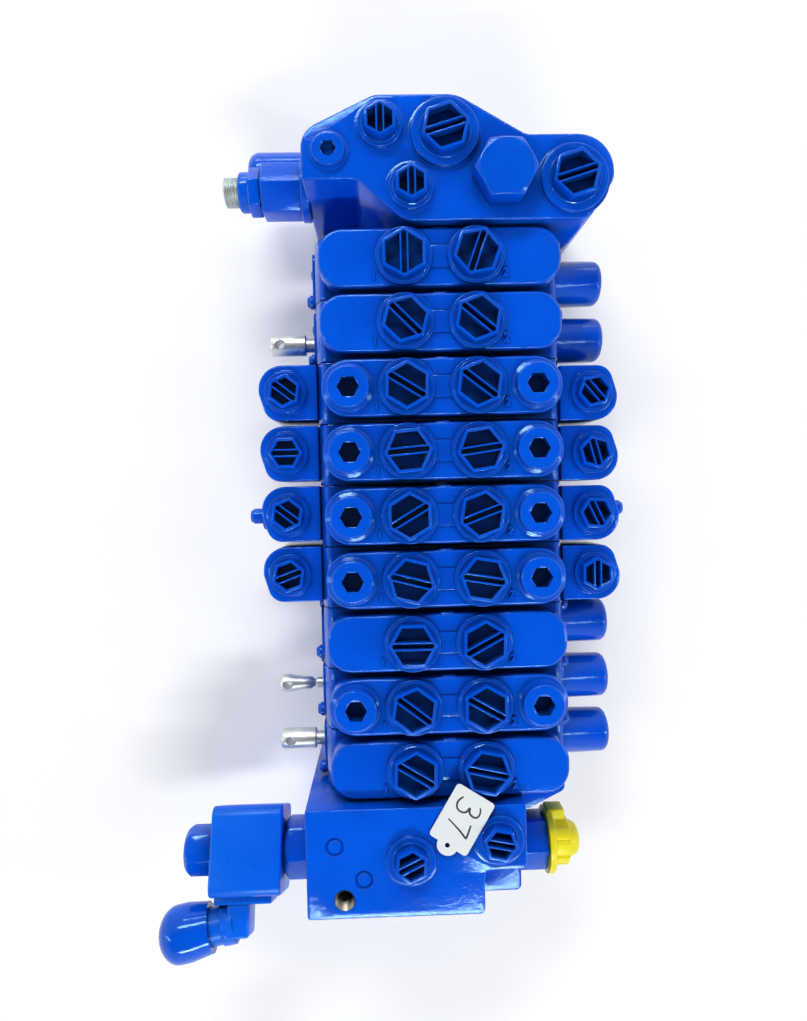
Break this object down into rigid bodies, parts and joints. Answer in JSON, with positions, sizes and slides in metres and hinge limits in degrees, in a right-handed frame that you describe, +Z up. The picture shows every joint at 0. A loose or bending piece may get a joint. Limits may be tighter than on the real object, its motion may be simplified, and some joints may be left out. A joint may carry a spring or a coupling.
{
  "type": "hydraulic directional valve",
  "caption": "Sectional hydraulic directional valve: spool sections clamped between an inlet and an end section, with plugged ports, spring and pilot caps, a solenoid valve and a relief valve.",
  "frame": {"origin": "under the middle of the whole part, on the plane of the two feet under the inlet and the end section", "axes": "+X along the spools towards the spring caps, +Y along the stack towards the inlet section, +Z up to the port faces"},
  "size_m": [0.3266, 0.5536, 0.146],
  "materials": {
    "blue_painted_casting": "gloss",
    "blue_painted_plug": "gloss",
    "blue_painted_coil": "gloss",
    "bright_steel_spool": "satin",
    "zinc_steel_fastener": "satin",
    "yellow_plastic": "satin"
  },
  "bodies": {
    "valve": {"inlet_section": "blue_painted_casting", "end_section": "blue_painted_casting", "section_1": "blue_painted_casting", "section_2": "blue_painted_casting", "section_3": "blue_painted_casting", "section_4": "blue_painted_casting", "section_5": "blue_painted_casting", "section_6": "blue_painted_casting", "section_7": "blue_painted_casting", "section_8": "blue_painted_casting", "section_9": "blue_painted_casting", "port_plug_a1": "blue_painted_plug", "port_plug_b1": "blue_painted_plug", "port_plug_a2": "blue_painted_plug", "port_plug_b2": "blue_painted_plug", "port_plug_a3": "blue_painted_plug", "port_plug_b3": "blue_painted_plug", "port_plug_a4": "blue_painted_plug", "port_plug_b4": "blue_painted_plug", "port_plug_a5": "blue_painted_plug", "port_plug_b5": "blue_painted_plug", "port_plug_a6": "blue_painted_plug", "port_plug_b6": "blue_painted_plug", "port_plug_a7": "blue_painted_plug", "port_plug_b7": "blue_painted_plug", "port_plug_a8": "blue_painted_plug", "port_plug_b8": "blue_painted_plug", "port_plug_a9": "blue_painted_plug", "port_plug_b9": "blue_painted_plug", "spring_cap_1": "blue_painted_casting", "spring_cap_2": "blue_painted_casting", "spring_cap_7": "blue_painted_casting", "spring_cap_8": "blue_painted_casting", "spring_cap_9": "blue_painted_casting", "pilot_cap_left_3": "blue_painted_casting", "pilot_cap_right_3": "blue_painted_casting", "pilot_cap_left_4": "blue_painted_casting", "pilot_cap_right_4": "blue_painted_casting", "pilot_cap_left_5": "blue_painted_casting", "pilot_cap_right_5": "blue_painted_casting", "pilot_cap_left_6": "blue_painted_casting", "pilot_cap_right_6": "blue_painted_casting", "tie_rod_1": "zinc_steel_fastener", "tie_rod_2": "zinc_steel_fastener", "tie_rod_3": "zinc_steel_fastener", "solenoid_valve": "blue_painted_casting", "solenoid_coil": "blue_painted_coil", "coil_nut": "blue_painted_plug", "connector_cap": "blue_painted_plug", "dust_cap": "yellow_plastic"},
    "relief_screw": {"relief_adjusting_screw": "zinc_steel_fastener"},
    "spool_slide_1": {"spool_1": "bright_steel_spool"},
    "spool_slide_2": {"spool_2": "bright_steel_spool"},
    "spool_slide_3": {"spool_3": "bright_steel_spool"},
    "spool_slide_4": {"spool_4": "bright_steel_spool"},
    "spool_slide_5": {"spool_5": "bright_steel_spool"},
    "spool_slide_6": {"spool_6": "bright_steel_spool"},
    "spool_slide_7": {"spool_7": "bright_steel_spool"},
    "spool_slide_8": {"spool_8": "bright_steel_spool"},
    "spool_slide_9": {"spool_9": "bright_steel_spool"}
  },
  "joints": [
    {"name": "spool_1_travel", "type": "slide", "parent": "valve", "child": "spool_slide_1", "axis": [1, 0, 0], "range_m": [-0.007, 0.007], "stiffness_N_per_m": 6000},
    {"name": "spool_2_travel", "type": "slide", "parent": "valve", "child": "spool_slide_2", "axis": [1, 0, 0], "range_m": [-0.007, 0.007], "stiffness_N_per_m": 6000},
    {"name": "spool_3_travel", "type": "slide", "parent": "valve", "child": "spool_slide_3", "axis": [1, 0, 0], "range_m": [-0.007, 0.007], "stiffness_N_per_m": 6000},
    {"name": "spool_4_travel", "type": "slide", "parent": "valve", "child": "spool_slide_4", "axis": [1, 0, 0], "range_m": [-0.007, 0.007], "stiffness_N_per_m": 6000},
    {"name": "spool_5_travel", "type": "slide", "parent": "valve", "child": "spool_slide_5", "axis": [1, 0, 0], "range_m": [-0.007, 0.007], "stiffness_N_per_m": 6000},
    {"name": "spool_6_travel", "type": "slide", "parent": "valve", "child": "spool_slide_6", "axis": [1, 0, 0], "range_m": [-0.007, 0.007], "stiffness_N_per_m": 6000},
    {"name": "spool_7_travel", "type": "slide", "parent": "valve", "child": "spool_slide_7", "axis": [1, 0, 0], "range_m": [-0.007, 0.007], "stiffness_N_per_m": 6000},
    {"name": "spool_8_travel", "type": "slide", "parent": "valve", "child": "spool_slide_8", "axis": [1, 0, 0], "range_m": [-0.007, 0.007], "stiffness_N_per_m": 6000},
    {"name": "spool_9_travel", "type": "slide", "parent": "valve", "child": "spool_slide_9", "axis": [1, 0, 0], "range_m": [-0.007, 0.007], "stiffness_N_per_m": 6000},
    {"name": "relief_setting", "type": "hinge", "parent": "valve", "child": "relief_screw", "pos_m": [-0.09942, 0.23532, 0.08], "axis": [-1, 0, 0], "range_deg": [-360, 360]}
  ]
}
